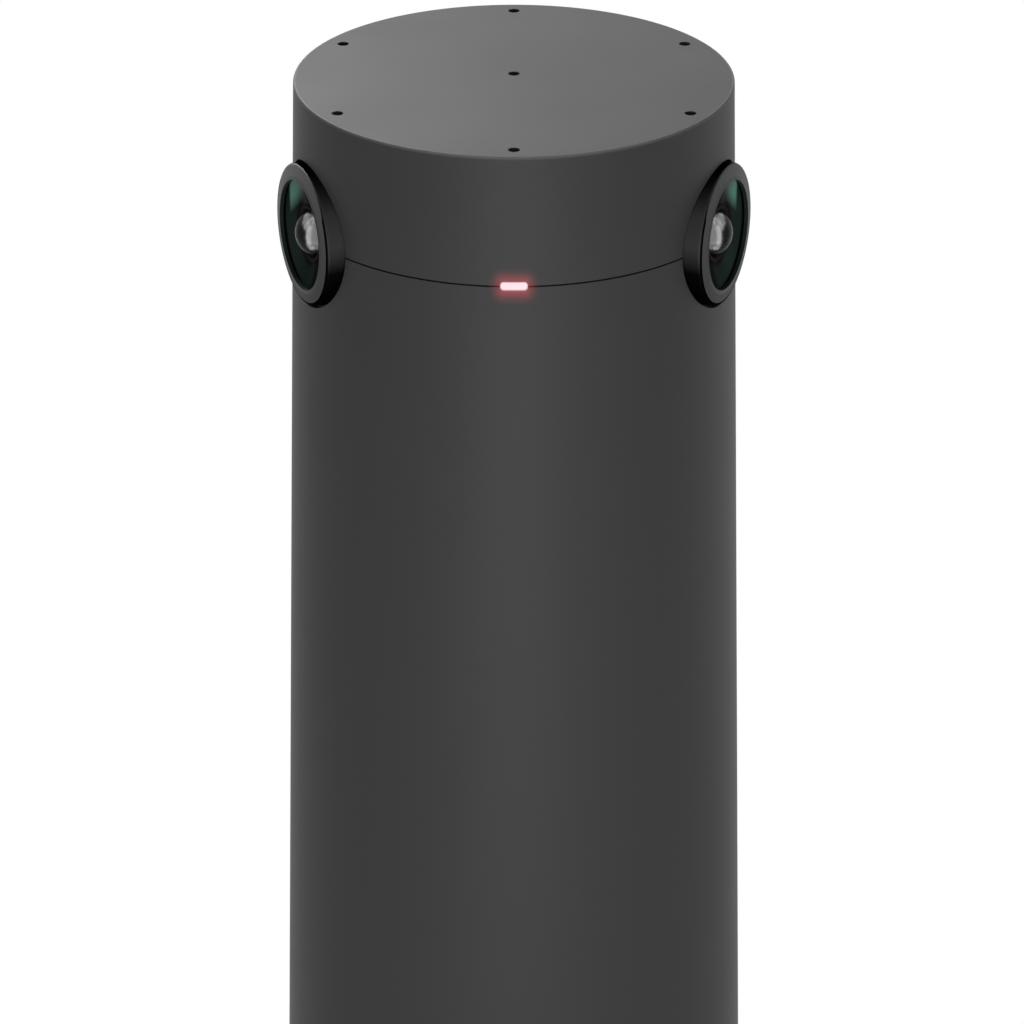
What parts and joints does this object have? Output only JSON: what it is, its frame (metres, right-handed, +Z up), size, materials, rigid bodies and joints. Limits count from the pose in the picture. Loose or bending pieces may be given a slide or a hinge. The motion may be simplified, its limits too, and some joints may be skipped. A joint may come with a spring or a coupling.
{
  "type": "tabletop conference camera",
  "caption": "Tall tapered dark grey tabletop conference camera with round fisheye bezels near the top, a red status light in the seam and microphone holes in its flat top.",
  "frame": {"origin": "centre of the circle that the rubber foot stands on, on the table's surface", "axes": "+Z up along the body's axis, -Y towards the front with the status light, +X to the right as seen from the front"},
  "size_m": [0.0873, 0.0872, 0.28],
  "materials": {
    "body_grey": "fine satin, dark grey",
    "bezel_grey": "satin, dark grey",
    "black_rubber": "matte black",
    "black_plastic": "matte black, moulded",
    "trim_gloss": "gloss, green-black",
    "lens_glass": "coated optical glass, faint green",
    "filter_glass": "blue-green coated filter",
    "lens_black": "black anodised, fine turned",
    "light_clear": "frosted clear plastic, glowing red from within",
    "light_chip": "lit red chip",
    "aluminium": "plain milled and extruded",
    "bracket_alu": "bead-blasted sheet",
    "steel": "zinc-plated",
    "cast_iron": "black painted casting",
    "brass": "turned brass",
    "board_green": "solder mask, green",
    "chip_black": "moulded epoxy, matte",
    "pad_grey": "soft thermal pad",
    "tin": "tin-plated sheet",
    "connector_beige": "moulded nylon",
    "ribbon_amber": "polyimide film",
    "mesh_black": "woven dust mesh",
    "button_grey": "moulded, satin"
  },
  "bodies": {
    "camera": {"ballast": "cast_iron", "ballast_screws": "steel", "base_plate": "black_plastic", "base_screws": "steel", "bezel_screws": "steel", "board_chips": "chip_black", "board_connectors": "connector_beige", "board_screws": "steel", "body_shell": "body_grey", "bracket_screws": "steel", "camera_bracket": "bracket_alu", "camera_ribbon_left": "ribbon_amber", "camera_ribbon_right": "ribbon_amber", "cap_screws": "steel", "foot_ring": "black_rubber", "front_lens_left": "lens_glass", "front_lens_right": "lens_glass", "image_sensors": "chip_black", "ir_filters": "filter_glass", "led_board": "board_green", "led_chip": "light_chip", "lens_barrel_left": "lens_black", "lens_barrel_right": "lens_black", "lens_bezel_left": "bezel_grey", "lens_bezel_right": "bezel_grey", "lens_holder_left": "chip_black", "lens_holder_right": "chip_black", "lens_seal_left": "black_rubber", "lens_seal_right": "black_rubber", "lens_spacers": "lens_black", "lens_trim_left": "trim_gloss", "lens_trim_right": "trim_gloss", "light_pipe": "light_clear", "light_ribbon": "ribbon_amber", "lock_plate": "steel", "main_board": "board_green", "mic_board": "board_green", "mic_gaskets": "black_rubber", "mic_meshes": "mesh_black", "mic_ribbon": "ribbon_amber", "microphones": "tin", "middle_lens_left": "lens_glass", "middle_lens_right": "lens_glass", "network_socket": "tin", "processor": "chip_black", "rear_lens_left": "lens_glass", "rear_lens_right": "lens_glass", "reset_switch": "chip_black", "seam_gasket": "black_rubber", "sensor_board_left": "board_green", "sensor_board_right": "board_green", "shield_can": "tin", "spine": "aluminium", "spine_screws": "steel", "thermal_pad": "pad_grey", "top_cap": "body_grey", "tripod_insert": "brass", "usb_socket": "steel"},
    "reset_button": {"reset_button": "button_grey"},
    "switch_plunger": {"switch_plunger": "connector_beige"}
  },
  "joints": [
    {"name": "reset_press", "type": "slide", "parent": "camera", "child": "reset_button", "axis": [0, 0, 1], "range_m": [0, 0.0004], "stiffness_N_per_m": 1000},
    {"name": "plunger_press", "type": "slide", "parent": "camera", "child": "switch_plunger", "axis": [0, 0, 1], "range_m": [0, 0.0004], "stiffness_N_per_m": 200}
  ],
  "couplings": [
    {"joint": "plunger_press", "follows": "reset_press", "ratio": 1}
  ]
}
